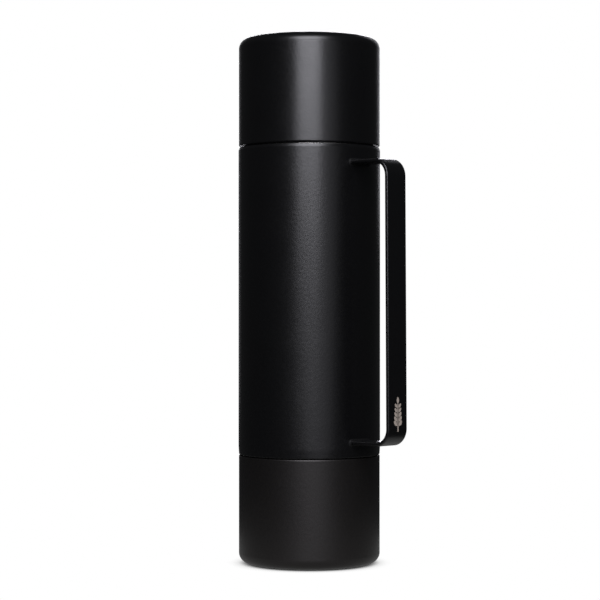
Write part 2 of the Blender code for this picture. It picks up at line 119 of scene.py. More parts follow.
def split(outline, low, high, closed=True):
    """The outline with its upright runs between two heights cut short, for a thread to rise from."""
    made = []
    for (r0, z0), (r1, z1) in neighbours(outline, closed):
        made.append((r0, z0))
        if abs(r1 - r0) < UPRIGHT and min(z0, z1) < high and max(z0, z1) > low:
            cuts = max(1, round(abs(z1 - z0) / RIDGE_STEP))
            made += [(r0, z0 + (z1 - z0) * k / cuts) for k in range(1, cuts)]
    if not closed:
        made.append(outline[-1])
    return made


# ---------------------------------------------------------------- meshes

SHELL_TURN = 224  # steps round a large piece
SMALL_TURN = 128
SAME_POINT = 1e-4  # points nearer than this are one
SHARP = math.radians(38)
SHARP_RIDGED = math.radians(75)  # so that a thread's flanks and a grip's hollows stay smooth

# A thread's ridge: half its width at the root and at the crest, and the degrees over which each end fades.
RIDGE_ROOT = 1.3
RIDGE_CREST = 0.2
RIDGE_FADE = 14.0


def smoothed(mesh, sharp=SHARP):
    mesh.shade_smooth()
    mesh.set_sharp_from_angle(angle=sharp)
    return mesh


def finished(bm, name):
    bmesh.ops.remove_doubles(bm, verts=bm.verts, dist=SAME_POINT)
    bmesh.ops.recalc_face_normals(bm, faces=bm.faces)
    bmesh.ops.transform(bm, matrix=Matrix.Scale(MM, 4), verts=bm.verts)
    mesh = bpy.data.meshes.new(name)
    bm.to_mesh(mesh)
    bm.free()
    return smoothed(mesh)


def turned(name, outline, segments=SHELL_TURN, closed=True, bump=None):
    """A solid turned round Z from (radius, height) points. An open outline starts and ends on the axis.
    bump(angle, radius, height) gives how far each point moves out."""
    r, z = np.array(outline).T
    keep = np.ones(len(r), bool)
    keep[1:] = np.hypot(np.diff(r), np.diff(z)) > SAME_POINT
    r, z = r[keep], z[keep]
    twice_area = np.sum(r * np.roll(z, -1) - np.roll(r, -1) * z)
    if twice_area < 0:
        r, z = r[::-1], z[::-1]
    poles = [] if closed else [(0, 0, z[0]), (0, 0, z[-1])]
    if not closed:
        r, z = r[1:-1], z[1:-1]
    count = len(r)
    angle, radius = np.meshgrid(np.arange(segments) * 2 * np.pi / segments, r, indexing="ij")
    height = np.broadcast_to(z, angle.shape)
    out = radius + bump(angle, radius, height) if bump else radius
    verts = np.stack([out * np.cos(angle), out * np.sin(angle), height], axis=-1).reshape(-1, 3)
    verts = np.vstack([verts, poles]) if poles else verts
    ring = np.arange(segments)[:, None] * count
    following = np.roll(ring, -1, axis=0)
    along = np.arange(count if closed else count - 1)
    ahead = (along + 1) % count
    corners = [ring + along, following + along, following + ahead, ring + ahead]
    faces = np.stack(corners, axis=-1).reshape(-1, 4).tolist()
    if poles:
        first, last = segments * count, segments * count + 1
        for here, there in zip(ring[:, 0].tolist(), following[:, 0].tolist()):
            faces.append((first, there, here))
            faces.append((last, here + count - 1, there + count - 1))
    mesh = bpy.data.meshes.new(name)
    mesh.from_pydata((verts * MM).tolist(), [], faces)
    mesh.validate()
    return smoothed(mesh, SHARP_RIDGED if bump else SHARP)


def lofted(name, rings, loop):
    """A solid from rings of points. With loop the last ring joins the first. Otherwise each end is capped in
    strips between the points that face each other, which are counted from the two ends of the ring."""
    bm = bmesh.new()
    made = [[bm.verts.new(p) for p in ring] for ring in rings]
    for one, other in neighbours(made, loop):
        for k in range(len(one)):
            m = (k + 1) % len(one)
            bm.faces.new((one[k], one[m], other[m], other[k]))
    if not loop:
        for ring in (made[0], made[-1]):
            for k in range(len(ring) // 2 - 1):
                bm.faces.new((ring[k], ring[k + 1], ring[-2 - k], ring[-1 - k]))
    return finished(bm, name)


def smooth_step(value):
    value = np.clip(value, 0.0, 1.0)
    return value * value * (3 - 2 * value)


def thread(starts, lead, start_z, start_angle, span, height):
    """A bump for turned(): helical ridges, one for each start, which fade in and out at their ends."""

    def bump(angle, radius, z):
        most = np.zeros_like(angle)
        for k in range(starts):
            turn = (np.degrees(angle) - start_angle - 360 * k / starts) % 360
            away = np.abs(z - start_z - lead * turn / 360)
            rise = smooth_step((RIDGE_ROOT - away) / (RIDGE_ROOT - RIDGE_CREST))
            fade = smooth_step(np.minimum(turn, span - turn) / RIDGE_FADE)
            most = np.maximum(most, rise * fade)
        return height * most

    return bump


# ---------------------------------------------------------------- materials

NOISE_LOW, NOISE_HIGH = 0.3, 0.7  # nearly all of a noise lies between these

# The coat's texture: how many features a metre, and how deep they are, in metres.
PEEL_SCALE = 520.0
PEEL_DEPTH = 0.00004
GRAIN_SCALE = 1500.0
GRAIN_DEPTH = 0.000012
CLOUD_SCALE = 45.0
CLOUD_SHARE = 0.4
GLOSS_DRIFT = 0.03  # how far its roughness strays

BLACK = (0.0020, 0.0020, 0.0022)
BOTTOM_CUP_BLACK = (0.0034, 0.0030, 0.0029)  # the bottom cup, a lighter and warmer black than the rest of the coat
WARM_TINT = (1.0, 0.96, 0.94)
STEEL_GREY = (0.60, 0.585, 0.565)
PLASTIC_BLACK = (0.017, 0.017, 0.018)
SILICONE_BLACK = (0.019, 0.019, 0.020)
FOAM_WHITE = (0.82, 0.81, 0.77)
GLASS_GREY = (0.19, 0.21, 0.24)
ETCHED_GREY = (0.52, 0.45, 0.38)


class Nodes:
    """A material's node tree, with short calls to add and join nodes."""

    def __init__(self, name, colour, roughness, metallic=0.0):
        self.material = bpy.data.materials.new(name)
        self.material.use_nodes = True
        self.tree = self.material.node_tree
        self.shader = self.tree.nodes["Principled BSDF"]
        self.set("Base Color", (*colour, 1.0))
        self.set("Roughness", roughness)
        self.set("Metallic", metallic)
        self.material.diffuse_color = (*colour, 1.0)
        self.place = self.add("ShaderNodeTexCoord").outputs["Object"]

    def set(self, socket, value):
        self.shader.inputs[socket].default_value = value

    def add(self, kind, inputs=(), **settings):
        node = self.tree.nodes.new(kind)
        for key, value in settings.items():
            setattr(node, key, value)
        for key, value in dict(inputs).items():
            if isinstance(value, bpy.types.NodeSocket):
                self.tree.links.new(value, node.inputs[key])
            else:
                node.inputs[key].default_value = value
        return node

    def join(self, output, socket):
        self.tree.links.new(output, self.shader.inputs[socket])

    def noise(self, scale, detail=2.0, roughness=0.5, place=None):
        inputs = {"Vector": place or self.place, "Scale": scale, "Detail": detail, "Roughness": roughness}
        return self.add("ShaderNodeTexNoise", inputs).outputs["Fac"]

    def cells(self, scale):
        return self.add("ShaderNodeTexVoronoi", {"Vector": self.place, "Scale": scale}).outputs["Distance"]

    def math(self, operation, first, second=0.0):
        return self.add("ShaderNodeMath", {0: first, 1: second}, operation=operation).outputs[0]

    def blend(self, first, second, share):
        """first and second added together, with that share of the second."""
        parts = self.math("MULTIPLY", first, 1 - share), self.math("MULTIPLY", second, share)
        return self.math("ADD", *parts)

    def spread(self, value, to_low, to_high):
        """A noise's usual range, stretched over another range."""
        inputs = {"Value": value, "From Min": NOISE_LOW, "From Max": NOISE_HIGH}
        inputs.update({"To Min": to_low, "To Max": to_high})
        return self.add("ShaderNodeMapRange", inputs).outputs["Result"]

    def shades(self, value, colour, dark, light, low=NOISE_LOW, high=NOISE_HIGH):
        """The colour, times dark where the value is low, and times light where it is high."""
        node = self.add("ShaderNodeValToRGB", {"Fac": value})
        for element, position, factor in zip(node.color_ramp.elements, (low, high), (dark, light)):
            element.position = position
            element.color = (*(c * factor for c in colour), 1.0)
        return node.outputs["Color"]

    def bump(self, height, distance, under=None):
        inputs = {"Height": height, "Distance": distance}
        if under is not None:
            inputs["Normal"] = under
        return self.add("ShaderNodeBump", inputs).outputs["Normal"]

    def round_place(self, along, around):
        """Coordinates that run fast along the axis and outwards, and slowly round it, for turned metal."""
        parts = self.add("ShaderNodeSeparateXYZ", {"Vector": self.place}).outputs
        flat = self.add("ShaderNodeCombineXYZ", {"X": parts["X"], "Y": parts["Y"]}).outputs["Vector"]
        radius = self.add("ShaderNodeVectorMath", {0: flat}, operation="LENGTH").outputs["Value"]
        away = self.math("MULTIPLY", self.math("ADD", radius, parts["Z"]), along)
        turn = self.add("ShaderNodeVectorMath", {0: flat}, operation="NORMALIZE").outputs["Vector"]
        scaled = {0: turn, "Scale": around}
        turn = self.add("ShaderNodeVectorMath", scaled, operation="SCALE").outputs["Vector"]
        ways = self.add("ShaderNodeSeparateXYZ", {"Vector": turn}).outputs
        joined = {"X": away, "Y": ways["X"], "Z": ways["Y"]}
        return self.add("ShaderNodeCombineXYZ", joined).outputs["Vector"]


def powder_coat(name, colour, roughness, grain=1.0, specular=0.5, tint=(1.0, 1.0, 1.0)):
    """Satin powder coat: a soft orange peel with a finer grain on it, and a faint cloudiness in its gloss."""
    n = Nodes(name, colour, roughness)
    n.set("Specular IOR Level", specular)
    n.set("Specular Tint", (*tint, 1.0))
    peel = n.noise(PEEL_SCALE, detail=2.0, roughness=0.55)
    fine = n.noise(GRAIN_SCALE, detail=3.0, roughness=0.6)
    cloud = n.noise(CLOUD_SCALE, detail=3.0)
    n.join(n.shades(fine, colour, dark=0.78, light=1.35), "Base Color")
    drift = n.blend(peel, cloud, CLOUD_SHARE)
    n.join(n.spread(drift, roughness - GLOSS_DRIFT, roughness + GLOSS_DRIFT), "Roughness")
    under = n.bump(peel, PEEL_DEPTH * grain)
    n.join(n.bump(fine, GRAIN_DEPTH * grain, under=under), "Normal")
    return n.material


def brushed_steel(name, colour, roughness):
    """Stainless steel turned and brushed round the axis, with faint wider bands from forming."""
    n = Nodes(name, colour, roughness, metallic=1.0)
    lines = n.noise(1.0, detail=4.0, roughness=0.7, place=n.round_place(along=5200.0, around=2.2))
    bands = n.noise(1.0, detail=2.0, place=n.round_place(along=160.0, around=0.6))
    n.join(n.shades(lines, colour, dark=0.86, light=1.08, low=0.25, high=0.75), "Base Color")
    drift = n.blend(lines, bands, 0.3)
    n.join(n.spread(drift, roughness - 0.06, roughness + 0.1), "Roughness")
    n.join(n.bump(lines, distance=0.000012), "Normal")
    n.set("Anisotropic", 0.45)
    return n.material


def moulded(name, colour, roughness):
    """Spark-eroded moulding texture, as on matt polypropylene."""
    n = Nodes(name, colour, roughness)
    haze = n.noise(60.0, detail=3.0)
    n.join(n.shades(haze, colour, dark=0.85, light=1.2), "Base Color")
    n.join(n.spread(haze, roughness - 0.04, roughness + 0.04), "Roughness")
    n.join(n.bump(n.cells(1700.0), distance=0.00003), "Normal")
    return n.material


def silicone(name, colour, roughness):
    """Moulded silicone rubber, which holds a little dust."""
    n = Nodes(name, colour, roughness)
    dust = n.noise(420.0, detail=4.0, roughness=0.65)
    n.join(n.shades(dust, colour, dark=1.0, light=1.7, low=0.35, high=0.8), "Base Color")
    n.join(n.spread(dust, roughness - 0.06, roughness + 0.08), "Roughness")
    n.join(n.bump(n.noise(1500.0), distance=0.00002), "Normal")
    n.set("Sheen Weight", 0.15)
    n.set("Sheen Roughness", 0.4)
    return n.material


def foam(name, colour, roughness):
    """Open insulating foam, with painted shade that darkens the hollows of its cells."""
    n = Nodes(name, colour, roughness)
    cells = n.cells(900.0)
    # painted shade: the colour darkens towards the middle of each cell, where the bump sinks it into a hollow
    n.join(n.shades(cells, colour, dark=0.74, light=1.0, low=0.0, high=0.5), "Base Color")
    n.join(n.bump(cells, distance=0.00012), "Normal")
    return n.material


def sealing_glass(name, colour, roughness):
    """Clouded grey glass, which was melted in its place."""
    n = Nodes(name, colour, roughness)
    cloud = n.noise(700.0, detail=3.0)
    n.join(n.shades(cloud, colour, dark=0.65, light=1.4), "Base Color")
    n.join(n.bump(cloud, distance=0.00003), "Normal")
    return n.material


def etched(name, colour, roughness):
    """Laser-etched coating: bare warm grey, crossed by the fine lines that the laser leaves."""
    n = Nodes(name, colour, roughness, metallic=0.3)
    wave = {"Vector": n.place, "Scale": 900.0, "Distortion": 1.2}
    lines = n.add("ShaderNodeTexWave", wave, bands_direction="Z").outputs["Fac"]
    mixed = n.blend(lines, n.noise(2400.0), 0.5)
    n.join(n.shades(mixed, colour, dark=0.75, light=1.2, low=0.2, high=0.8), "Base Color")
    n.join(n.bump(mixed, distance=0.00001), "Normal")
    return n.material


def make_looks():
    """Every material by name. A cup's own name gives its coat."""
    return {
        "body": powder_coat("body_powder_coat", BLACK, roughness=0.30),
        "handle": powder_coat("handle_powder_coat", BLACK, roughness=0.33),
        "top_cup": powder_coat("top_cup_powder_coat", BLACK, roughness=0.30),
        "bottom_cup": powder_coat(
            "bottom_cup_powder_coat", BOTTOM_CUP_BLACK, roughness=0.43, grain=1.2, specular=0.42, tint=WARM_TINT
        ),
        "plate": powder_coat("plate_powder_coat", BLACK, roughness=0.46),
        "weld": powder_coat("weld_powder_coat", BLACK, roughness=0.65, grain=1.4, specular=0.2),
        "steel": brushed_steel("brushed_stainless_steel", STEEL_GREY, roughness=0.24),
        "plastic": moulded("moulded_polypropylene", PLASTIC_BLACK, roughness=0.46),
        "silicone": silicone("matt_silicone", SILICONE_BLACK, roughness=0.62),
        "foam": foam("insulating_foam", FOAM_WHITE, roughness=0.9),
        "glass": sealing_glass("sealing_glass", GLASS_GREY, roughness=0.22),
        "etched": etched("laser_etched_coat", ETCHED_GREY, roughness=0.5),
    }


# ---------------------------------------------------------------- where things are


class End:
    """One end of the vessel, measured outwards from its shoulder, and how a piece there is put in place."""

    def __init__(self, name, ring):
        self.name = name
        self.cup = f"{name}_cup"
        self.upwards = name == "top"
        low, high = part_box(ring)
        self.ring = ring
        self.shoulder = low.z / MM - GAP if self.upwards else high.z / MM + GAP
        self.matrix = Matrix.Translation((0, 0, self.shoulder * MM))
        if not self.upwards:
            self.matrix = self.matrix @ Matrix.Rotation(math.pi, 4, "X")

    def span(self, node):
        """(near, far, radius) of a node, in millimetres out from the shoulder and from the axis."""
        low, high, radius = span_of(node)
        ends = (low - self.shoulder, high - self.shoulder)
        if not self.upwards:
            ends = (-ends[1], -ends[0])
        return *ends, radius


def span_of(node):
    """(low, high, radius) of a node in millimetres."""
    low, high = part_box(node)
    return low.z / MM, high.z / MM, high.y / MM


def show(mesh, material, body, nodes, matrix=None):
    """Makes a piece of the mesh, which rides on a body and stands for CAD nodes."""
    thing = bpy.data.objects.new(mesh.name, mesh)
    bpy.context.scene.collection.objects.link(thing)
    if matrix is not None:
        thing.matrix_world = matrix
    mesh.materials.append(material)
    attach(thing, body)
    if nodes:
        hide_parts(*nodes)


# ---------------------------------------------------------------- the cups and their threads

# The cup's thread, on the ring and in the cup: its starts and lead, then for each half the first height, the
# degrees that each of its ridges spans, and how far the ridge stands out.
CUP_STARTS = 4
CUP_LEAD = 24.0
MALE_START, MALE_SPAN = 2.0, 78.0
FEMALE_START, FEMALE_SPAN, FEMALE_HEIGHT = 2.5, 60.0, 0.85
CUP_THREAD_OFFSET = -1.7  # from the male ridge's line to the female one's
THREAD_RING_RADIUS = 41.4
THREAD_CREST_RADIUS = 42.3

# The cup. Bevels are (depth, height).
CUP_RIM_BEVEL = (0.25, 0.65)
CUP_CORNER = 6.5
CUP_OPENING = 36.0  # in the outer shell's base, which the plate closes
CUP_FOLD = 1.15  # how deep that opening's edge is folded in
CUP_BORE = 42.65
CUP_FLOOR_RADIUS = 7.0
CUP_BEAD_Z = 11.8  # where the bead that stops the gasket starts
CUP_BEAD_DEPTH = 0.9
CUP_BEAD_STEPS = (0.9, 1.7, 3.0)  # up to where it is deepest, where it starts to end, and where it ends
CUP_THREAD_STOP = 2.3  # how far below the bead the thread stops
CUP_GASKET_BORE = 39.6

# The closing plates: radii of the dimple round the pumping hole, the width of the rim, and depths.
PLATE_HOLE = 1.2
DIMPLE_FLOOR = 4.2
DIMPLE_EDGE = 5.6
DIMPLE_DEPTH = 1.0
RIM_WIDTH = 3.0
RIM_SLOPE = 1.0
RIM_DEPTH = 0.35

# The bead of glass in the dimple.
GLASS_RADIUS = 3.1
GLASS_TOP_RADIUS = 2.3
GLASS_SINK = 0.72  # from the plate's face to the bead's back
GLASS_HEIGHT = 0.5
GLASS_TURN = 48
GLASS_SLUMP = 0.04  # a share of the radius
GLASS_LOBES = 3
GLASS_PHASE = 0.7

# The getter: its place, its cup and its pill.
GETTER_PLACE = 18.0  # from the axis
GETTER_RADIUS = 6.0
GETTER_LIP = 0.5  # from the cup's rim to the pill
GETTER_PILL_RADIUS = 5.4
GETTER_PILL_DOME = 0.1
GETTER_TURN = 64

# The rings moulded in the foot pad.
FOOT_RINGS = 5
FIRST_FOOT_RING = 8.0
FOOT_RING_STEP = 5.0
FOOT_RING_GROOVE = ((-0.6, 0), (-0.35, -0.3), (0.35, -0.3), (0.6, 0))  # across, up

GASKET_GROOVE = 0.18  # between its two lips


def thread_ring(end, looks):
    near, far, _ = end.span(end.ring)
    bore, outer = SPIGOT_RADIUS + GAP, THREAD_RING_RADIUS
    corners = [(bore, near, 0.1), (outer, near, 0.15), (outer, far, 0.3), (bore, far, 0.1)]
    outline = split(rounded(corners, step=30), near, far)
    ridge = thread(CUP_STARTS, CUP_LEAD, MALE_START, 0.0, MALE_SPAN, THREAD_CREST_RADIUS - outer)
    outer_wall = outer - 0.2

    def bump(angle, r, z):
        return np.where(r > outer_wall, ridge(angle, r, z), 0.0)

    mesh = turned(f"{end.name}_thread_ring", outline, bump=bump)
    show(mesh, looks["plastic"], "bottle", [end.ring], end.matrix)


def cup_outer_shell(end, looks):
    node = f"{end.cup}_outer_shell"
    near, far, radius = end.span(node)
    inner = radius - WALL
    rim_inner = CUP_BORE + LINER_WALL + GAP
    depth, height = CUP_RIM_BEVEL
    fold = far - CUP_FOLD
    outline = rounded(
        [
            (rim_inner, near, 0.1),
            (radius - depth, near, 0.12),
            (radius, near + height, 0.3),
            (radius, far, CUP_CORNER),
            (CUP_OPENING, far, 0.5),
            (CUP_OPENING, fold, 0),
            (CUP_OPENING + WALL, fold, 0),
            (CUP_OPENING + WALL, far - WALL, 0.2),
            (inner, far - WALL, CUP_CORNER - WALL),
            (inner, near + height + WALL, 0.1),
            (rim_inner, near + WALL, 0.1),
        ]
    )
    mesh = turned(node.replace("outer", "coated"), outline)
    show(mesh, looks[end.cup], end.cup, [node], end.matrix)


def cup_inner_liner(end, looks):
    node = f"{end.cup}_inner_liner"
    near, far, _ = end.span(node)
    outer = CUP_BORE + LINER_WALL
    full, left, met = (CUP_BEAD_Z + step for step in CUP_BEAD_STEPS)
    bead = [(CUP_BEAD_Z, 0.0), (full, CUP_BEAD_DEPTH), (left, CUP_BEAD_DEPTH), (met, 0.0)]
    outline = rounded(
        [
            (0, far - LINER_WALL, 0),
            (CUP_BORE, far - LINER_WALL, CUP_FLOOR_RADIUS),
            *((CUP_BORE - d, z, 0.6) for z, d in reversed(bead)),
            (CUP_BORE, near, 0.12),
            (outer, near, 0.12),
            *((outer - d, z, 0.6) for z, d in bead),
            (outer, far, CUP_FLOOR_RADIUS + LINER_WALL),
            (0, far, 0),
        ],
        closed=False,
    )
    thread_end = CUP_BEAD_Z - CUP_THREAD_STOP
    outline = split(outline, near, thread_end, closed=False)
    line = MALE_START + CUP_THREAD_OFFSET
    angle_0 = (FEMALE_START - line) / CUP_LEAD * 360
    ridge = thread(CUP_STARTS, CUP_LEAD, FEMALE_START, angle_0, FEMALE_SPAN, -FEMALE_HEIGHT)

    def bump(angle, r, z):
        return np.where(z < thread_end, ridge(angle, r, z), 0.0)

    mesh = turned(node.replace("inner_liner", "steel_liner"), outline, closed=False, bump=bump)
    show(mesh, looks["steel"], end.cup, [node], end.matrix)


def base_plate(name, node, body, far, radius, inwards, looks, matrix=None):
    """A closing plate with a dimple for the seal and a rim to weld. far is its outer face, and inwards is the
    way, 1 or -1, to its inner one."""
    dimple = far + inwards * DIMPLE_DEPTH
    rim = far + inwards * RIM_DEPTH
    outside = [
        (PLATE_HOLE, dimple, 0),
        (DIMPLE_FLOOR, dimple, 0.4),
        (DIMPLE_EDGE, far, 0.6),
        (radius - RIM_WIDTH - RIM_SLOPE, far, 1.0),
        (radius - RIM_WIDTH, rim, 1.0),
        (radius, rim, 0),
    ]
    inside = [(r, z + inwards * WALL, 0) for r, z, _ in reversed(outside)]
    mesh = turned(name, rounded(outside + inside, step=20), SMALL_TURN)
    show(mesh, looks["plate"], body, [node], matrix)


def seal_bead(name, node, body, far, inwards, looks, matrix=None):
    """The bead of sealing glass in the plate's dimple, slumped as it cooled."""
    low = far + inwards * GLASS_SINK
    top = low - inwards * GLASS_HEIGHT
    corners = [(0, low, 0), (GLASS_RADIUS, low, 0.12), (GLASS_TOP_RADIUS, top, 0.9), (0, top, 0)]
    outline = rounded(corners, closed=False, step=15)

    def slump(angle, r, z):
        return GLASS_SLUMP * r * np.sin(GLASS_LOBES * angle + GLASS_PHASE)

    mesh = turned(name, outline, GLASS_TURN, closed=False, bump=slump)
    show(mesh, looks["glass"], body, [node], matrix)


def getter(name, node, body, low, high, looks, matrix=None):
    """The getter: a pressed pill in a thin steel cup. low is the cup's closed face, and high its open one."""
    pill = high - GETTER_LIP
    corners = [
        (0, low, 0),
        (GETTER_RADIUS, low, 0.3),
        (GETTER_RADIUS, high, 0.2),
        (GETTER_RADIUS - LINER_WALL, high, 0.1),
        (GETTER_PILL_RADIUS, pill, 0.1),
        (0, pill - GETTER_PILL_DOME, 0),
    ]
    mesh = turned(name, rounded(corners, closed=False, step=20), GETTER_TURN, closed=False)
    mesh.transform(Matrix.Translation((GETTER_PLACE * MM, 0, 0)))
    show(mesh, looks["steel"], body, [node], matrix)


def foot_pad(end, looks):
    """A silicone disc with moulded rings, which the vessel stands on and which shows on top of it."""
    node = f"{end.cup}_foot_pad"
    near, far, radius = end.span(node)
    rings = []
    for k in range(FOOT_RINGS):
        r = FIRST_FOOT_RING + FOOT_RING_STEP * k
        rings += [(r + across, far + up, 0.15) for across, up in FOOT_RING_GROOVE]
    corners = [(0, near, 0), (radius, near, 0.1), (radius, far, 0.45), *reversed(rings), (0, far, 0)]
    outline = rounded(corners, closed=False, step=22)
    mesh = turned(node.replace("foot_pad", "silicone_foot"), outline, closed=False)
    show(mesh, looks["silicone"], end.cup, [node], end.matrix)


def gasket(name, node, span, inner, looks, matrix=None):
    """A silicone ring with two soft sealing lips on each face. It rides on a body of its own name."""
    low, high, outer = span
    middle = (inner + outer) / 2
    quarter = (outer - inner) / 4
    face = [
        (inner, 0, 0.3),
        (middle - quarter, 0, 0.2),
        (middle, GASKET_GROOVE, 0.3),
        (middle + quarter, 0, 0.2),
        (outer, 0, 0.3),
    ]
    corners = [(r, low + down, turn) for r, down, turn in face]
    corners += [(r, high - down, turn) for r, down, turn in reversed(face)]
    mesh = turned(name, rounded(corners, step=20))
    show(mesh, looks["silicone"], node, [node], matrix)


def make_end(end, looks):
    cup = end.cup
    thread_ring(end, looks)
    cup_outer_shell(end, looks)
    cup_inner_liner(end, looks)
    _, far, radius = end.span(f"{cup}_base_plate")
    base_plate(f"{cup}_plate", f"{cup}_base_plate", cup, far, radius, -1, looks, end.matrix)
    seal_bead(f"{cup}_glass_seal", f"{cup}_vacuum_seal", cup, far, -1, looks, end.matrix)
    near, high, _ = end.span(f"{cup}_getter")
    getter(f"{cup}_getter_pill", f"{cup}_getter", cup, near, high, looks, end.matrix)
    foot_pad(end, looks)
    span = end.span(f"{cup}_gasket")
    gasket(f"{cup}_seal_ring", f"{cup}_gasket", span, CUP_GASKET_BORE, looks, end.matrix)


# ---------------------------------------------------------------- the bottle

# The body. Bevels are (depth, height).
BODY_TOP_BEVEL = (0.65, 2.0)
BODY_BOTTOM_BEVEL = (0.3, 5.0)
SPIGOT_EDGE = 1.2
CONE_HEIGHT = 4.3  # from the collar up to the neck

# The liner: radii, and heights down from its lip.
LINER_RADIUS = 42.1
NECK_BORE = 27.2
LINER_SHOULDER = 35.0
LINER_NECK = 24.0
SLOPE_LIFT = 0.15  # keeps the wall's thickness on the sloping shoulder
NECK_FINE = 14.0  # how far down the neck is cut up for the thread
NECK_THREADED = 16.0  # how far down the thread may reach

# The stopper's thread, on the plug and in the neck: its starts and lead, then for each half the first height
# from the liner's lip, the degrees that each of its ridges spans, and how far the ridge stands out.
STOPPER_STARTS = 2
STOPPER_LEAD = 12.0
PLUG_START, PLUG_SPAN, PLUG_RIDGE = -14.5, 220.0, 1.0
NECK_START, NECK_SPAN, NECK_RIDGE = -12.4, 150.0, 1.0
NECK_THREAD_OFFSET = 1.7  # from the plug's ridge line to the neck's


def bottle_outer_shell(top, bottom, looks):
    node = "bottle_outer_shell"
    low, high, radius = span_of(node)
    foot, head = bottom.shoulder, top.shoulder
    collar = head + (foot - low)
    cone = collar + CONE_HEIGHT
    opening = span_of("bottle_base_plate")[2] + GAP
    top_depth, top_height = BODY_TOP_BEVEL
    foot_depth, foot_height = BODY_BOTTOM_BEVEL
    outline = rounded(
        [
            (opening, low, 0.2),
            (SPIGOT_RADIUS, low, SPIGOT_EDGE),
            (SPIGOT_RADIUS, foot, 0.4),
            (radius - foot_depth, foot, 0.35),
            (radius, foot + foot_height, 30.0),
            (radius, head - top_height, 1.2),
            (radius - top_depth, head - GAP, 0.35),
            (SPIGOT_RADIUS, head - GAP, 0.4),
            (SPIGOT_RADIUS, collar, SPIGOT_EDGE),
            (NECK_RADIUS, cone, 1.5),
            (NECK_RADIUS, high, 0.1),
            (NECK_RADIUS - WALL, high, 0.1),
            (NECK_RADIUS - WALL, cone - WALL, 0),
            (SPIGOT_RADIUS - WALL, collar - WALL, 0),
            (SPIGOT_RADIUS - WALL, head - GAP - WALL, 0),
            (radius - top_depth - WALL, head - GAP - WALL, 0.3),
            (radius - WALL, head - top_height - WALL, 0.5),
            (radius - WALL, foot + foot_height, 0),
            (radius - foot_depth - WALL, foot + WALL, 0.2),
            (SPIGOT_RADIUS - WALL, foot + WALL, 0),
            (SPIGOT_RADIUS - WALL, low + WALL, 0.6),
            (opening, low + WALL, 0.2),
        ],
        step=4,
    )
    mesh = turned("bottle_coated_shell", outline)
    show(mesh, looks["body"], "bottle", [node])
    mesh.materials.append(looks["steel"])
    bare_radius = (SPIGOT_RADIUS + GAP) * MM
    bare_height = (head - 0.2) * MM  # just over the shoulder
    for face in mesh.polygons:
        if face.center.z > bare_height and face.center.xy.length < bare_radius:
            face.material_index = 1


def bottle_inner_liner(looks):
    node = "bottle_inner_liner"
    low, lip, _ = span_of(node)
    bore = LINER_RADIUS - LINER_WALL
    neck_outer = NECK_BORE + LINER_WALL
    shoulder_z, neck_z = lip - LINER_SHOULDER, lip - LINER_NECK
    outline = rounded(
        [
            (0, low + LINER_WALL, 0),
            (bore, low + LINER_WALL, 8.0),
            (bore, shoulder_z, 5.0),
            (NECK_BORE, neck_z, 3.0),
            (NECK_BORE, lip, 0.7),
            (NECK_RADIUS, lip, 0.35),
            (NECK_RADIUS, lip - LINER_WALL, 0.2),
            (neck_outer, lip - LINER_WALL, 0.2),
            (neck_outer, neck_z + SLOPE_LIFT, 2.5),
            (LINER_RADIUS, shoulder_z + SLOPE_LIFT, 5.5),
            (LINER_RADIUS, low, 8.5),
            (0, low, 0),
        ],
        closed=False,
    )
    outline = split(outline, lip - NECK_FINE, lip, closed=False)
    line = PLUG_START + NECK_THREAD_OFFSET
    angle_0 = (NECK_START - line) / STOPPER_LEAD * 360
    ridge = thread(STOPPER_STARTS, STOPPER_LEAD, lip + NECK_START, angle_0, NECK_SPAN, -NECK_RIDGE)
    neck_wall = neck_outer + 0.1

    def bump(angle, r, z):
        return np.where((z > lip - NECK_THREADED) & (r < neck_wall), ridge(angle, r, z), 0.0)

    mesh = turned("bottle_steel_liner", outline, closed=False, bump=bump)
    show(mesh, looks["steel"], "bottle", [node])


def make_bottle(top, bottom, looks):
    bottle_outer_shell(top, bottom, looks)
    bottle_inner_liner(looks)
    low, _, radius = span_of("bottle_base_plate")
    base_plate("bottle_plate", "bottle_base_plate", "bottle", low, radius, 1, looks)
    seal_bead("bottle_glass_seal", "bottle_vacuum_seal", "bottle", low, 1, looks)
    low, high, _ = span_of("bottle_getter")
    getter("bottle_getter_pill", "bottle_getter", "bottle", high, low, looks)


# ---------------------------------------------------------------- the stopper

PLUG_RADIUS = 25.7
PLUG_WALL = 1.8
PLUG_DEPTH = 20.0  # from the liner's lip to the plug's foot
PLUG_THREAD_TOP = 5.0  # from the lip down to where the plug stops being cut up for the thread
PLUG_GROOVE = (7.0, 6.0, 3.5, 2.6)  # the corners of the ring groove in its foot, in from its wall
PLUG_GROOVE_DEPTH = 0.8
STOPPER_GASKET_BORE = 27.4

# The cap's top, inwards from its edge: a raised rim, a shallow dish and a boss.
CAP_CORNER = 1.8
CAP_RIM = 4.5
CAP_DISH_EDGE = 5.4
CAP_DISH_DEPTH = 0.9
BOSS_FOOT_RADIUS = 12.0
BOSS_RADIUS = 11.2
BOSS_DROP = 0.3  # how far the boss is below the rim
CAP_INNER_BEVEL = (2.0, 1.2)  # in the corner over the foam: across, down

# The finger grips round its skirt.
GRIPS = 12
GRIP_DEPTH = 0.75
GRIP_SHARPNESS = 0.7
GRIP_REACH = 2.2  # how far in from the skirt the grips start to show
GRIP_FADE = 2.0


